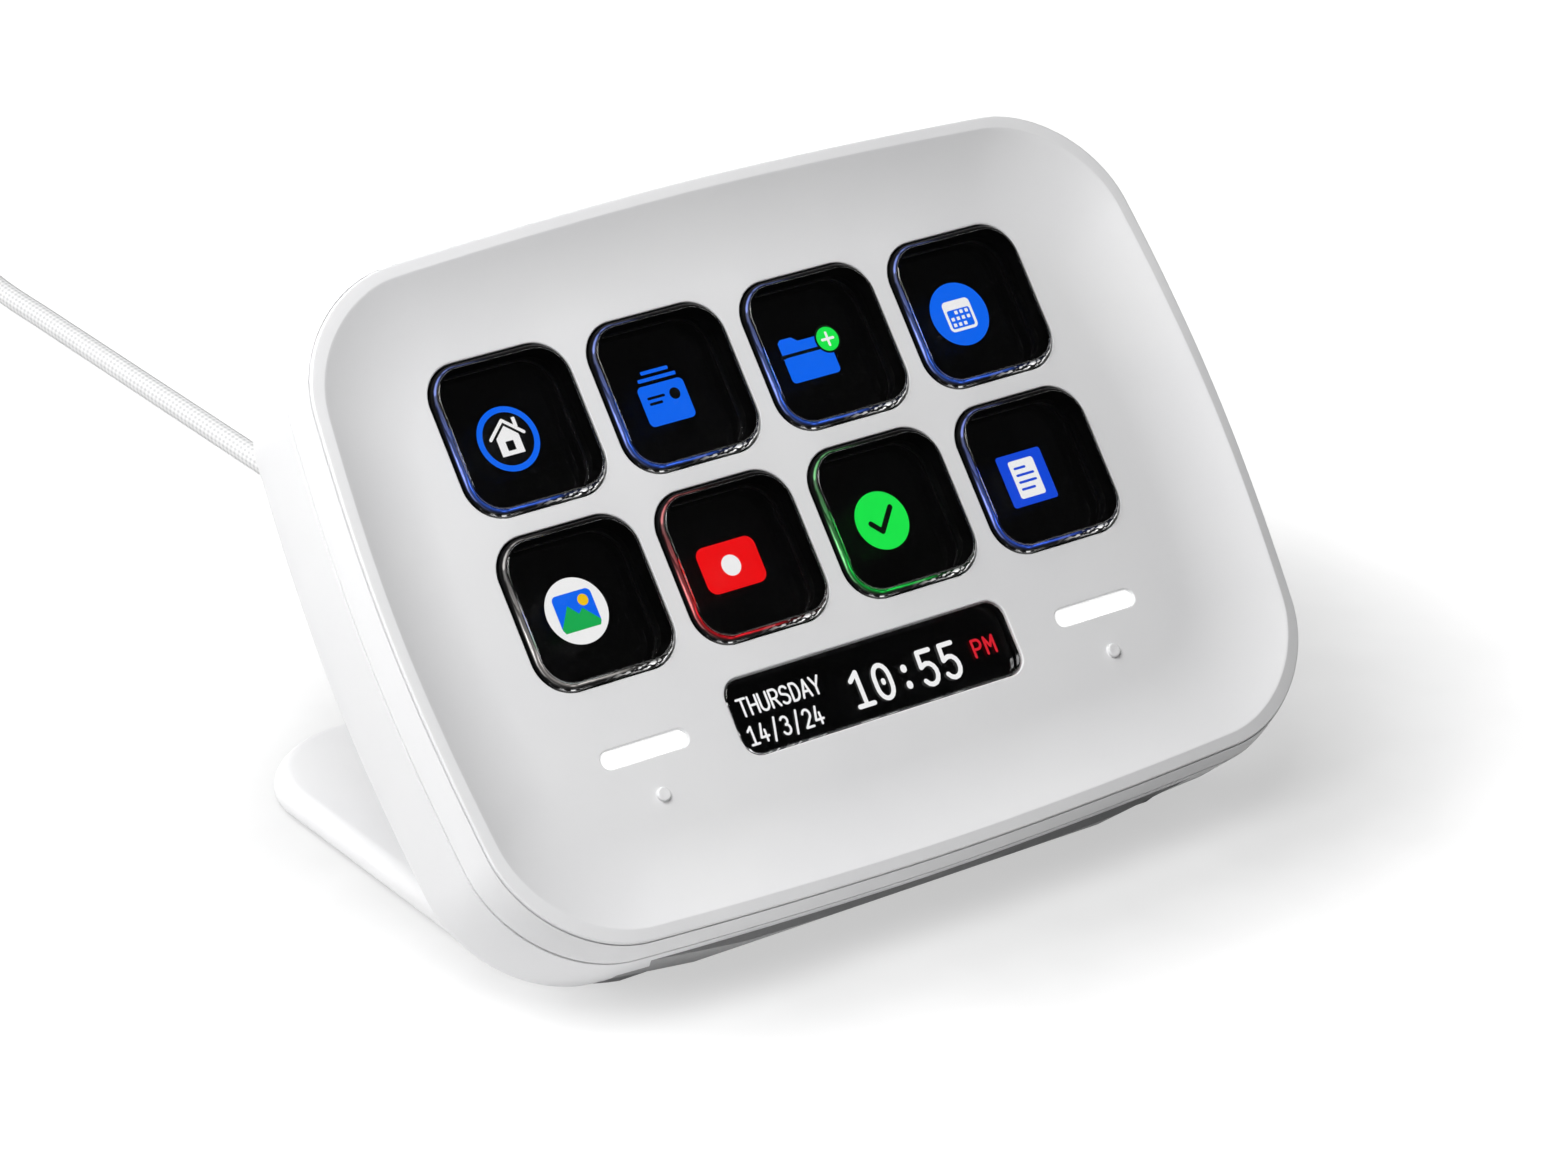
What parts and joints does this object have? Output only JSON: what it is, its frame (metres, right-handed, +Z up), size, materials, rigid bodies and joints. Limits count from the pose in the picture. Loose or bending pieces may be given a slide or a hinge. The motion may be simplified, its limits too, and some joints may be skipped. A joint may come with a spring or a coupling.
{
  "type": "display key pad",
  "caption": "Desk key pad whose leaning white body carries clear display keys, a small info strip and lit touch slots, on a flat rubber-soled foot with a woven cable.",
  "frame": {"origin": "on the desk, under the middle of the footprint of body and foot together", "axes": "+Z up, -Y towards the person in front of the keys, +X to that person's right; the face leans back 40 degrees from upright"},
  "size_m": [0.1072, 0.2754, 0.0682],
  "materials": {
    "white_shell": "fine matt moulded white",
    "sole_rubber": "dark grey matt rubber",
    "key_clear": "clear gloss over a black display",
    "silicone": "black silicone",
    "flex_film": "amber flexible film",
    "display_panel": "black display panel",
    "lens_black": "gloss black window",
    "tray_white": "light grey moulding",
    "light_guide": "lit milky clear",
    "pad_copper": "bare copper",
    "spring_wire": "plated spring wire",
    "circuit_board": "green solder mask",
    "chip_black": "moulded black",
    "lamp_white": "lamp body",
    "socket_cream": "cream moulding",
    "screw_steel": "zinc plated",
    "white_sleeve": "fine white woven sleeve",
    "white_plug": "soft white moulding",
    "plug_metal": "bright stamped shell"
  },
  "bodies": {
    "case": {"face_plate": "white_shell", "rear_housing": "white_shell", "stand_spine": "white_shell", "foot_plate": "white_shell", "foot_sole": "sole_rubber", "key_mat": "silicone", "contact_film": "flex_film", "lcd_panel": "display_panel", "lcd_carrier": "tray_white", "info_lens": "lens_black", "info_display": "display_panel", "light_guide_left": "light_guide", "light_guide_right": "light_guide", "touch_pads": "pad_copper", "touch_springs": "spring_wire", "touch_board": "circuit_board", "status_leds": "lamp_white", "main_board": "circuit_board", "board_chips": "chip_black", "display_ribbon": "flex_film", "touch_ribbon": "flex_film", "lead_connector": "socket_cream", "inner_lead": "white_sleeve", "case_screws": "screw_steel", "board_screws": "screw_steel", "carrier_screws": "screw_steel", "touch_board_screws": "screw_steel", "spine_screws": "screw_steel", "foot_screws": "screw_steel", "cable_gland": "white_plug", "cable": "white_sleeve", "cable_coil": "white_sleeve", "plug_boot": "white_plug", "plug_body": "white_plug", "plug_shell": "plug_metal"},
    "button_1": {"key_1": "key_clear"},
    "button_2": {"key_2": "key_clear"},
    "button_3": {"key_3": "key_clear"},
    "button_4": {"key_4": "key_clear"},
    "button_5": {"key_5": "key_clear"},
    "button_6": {"key_6": "key_clear"},
    "button_7": {"key_7": "key_clear"},
    "button_8": {"key_8": "key_clear"}
  },
  "joints": [
    {"name": "key_1_press", "type": "slide", "parent": "case", "child": "button_1", "axis": [0, 0.766, -0.6428], "range_m": [0, 0.001], "stiffness_N_per_m": 600},
    {"name": "key_2_press", "type": "slide", "parent": "case", "child": "button_2", "axis": [0, 0.766, -0.6428], "range_m": [0, 0.001], "stiffness_N_per_m": 600},
    {"name": "key_3_press", "type": "slide", "parent": "case", "child": "button_3", "axis": [0, 0.766, -0.6428], "range_m": [0, 0.001], "stiffness_N_per_m": 600},
    {"name": "key_4_press", "type": "slide", "parent": "case", "child": "button_4", "axis": [0, 0.766, -0.6428], "range_m": [0, 0.001], "stiffness_N_per_m": 600},
    {"name": "key_5_press", "type": "slide", "parent": "case", "child": "button_5", "axis": [0, 0.766, -0.6428], "range_m": [0, 0.001], "stiffness_N_per_m": 600},
    {"name": "key_6_press", "type": "slide", "parent": "case", "child": "button_6", "axis": [0, 0.766, -0.6428], "range_m": [0, 0.001], "stiffness_N_per_m": 600},
    {"name": "key_7_press", "type": "slide", "parent": "case", "child": "button_7", "axis": [0, 0.766, -0.6428], "range_m": [0, 0.001], "stiffness_N_per_m": 600},
    {"name": "key_8_press", "type": "slide", "parent": "case", "child": "button_8", "axis": [0, 0.766, -0.6428], "range_m": [0, 0.001], "stiffness_N_per_m": 600}
  ]
}
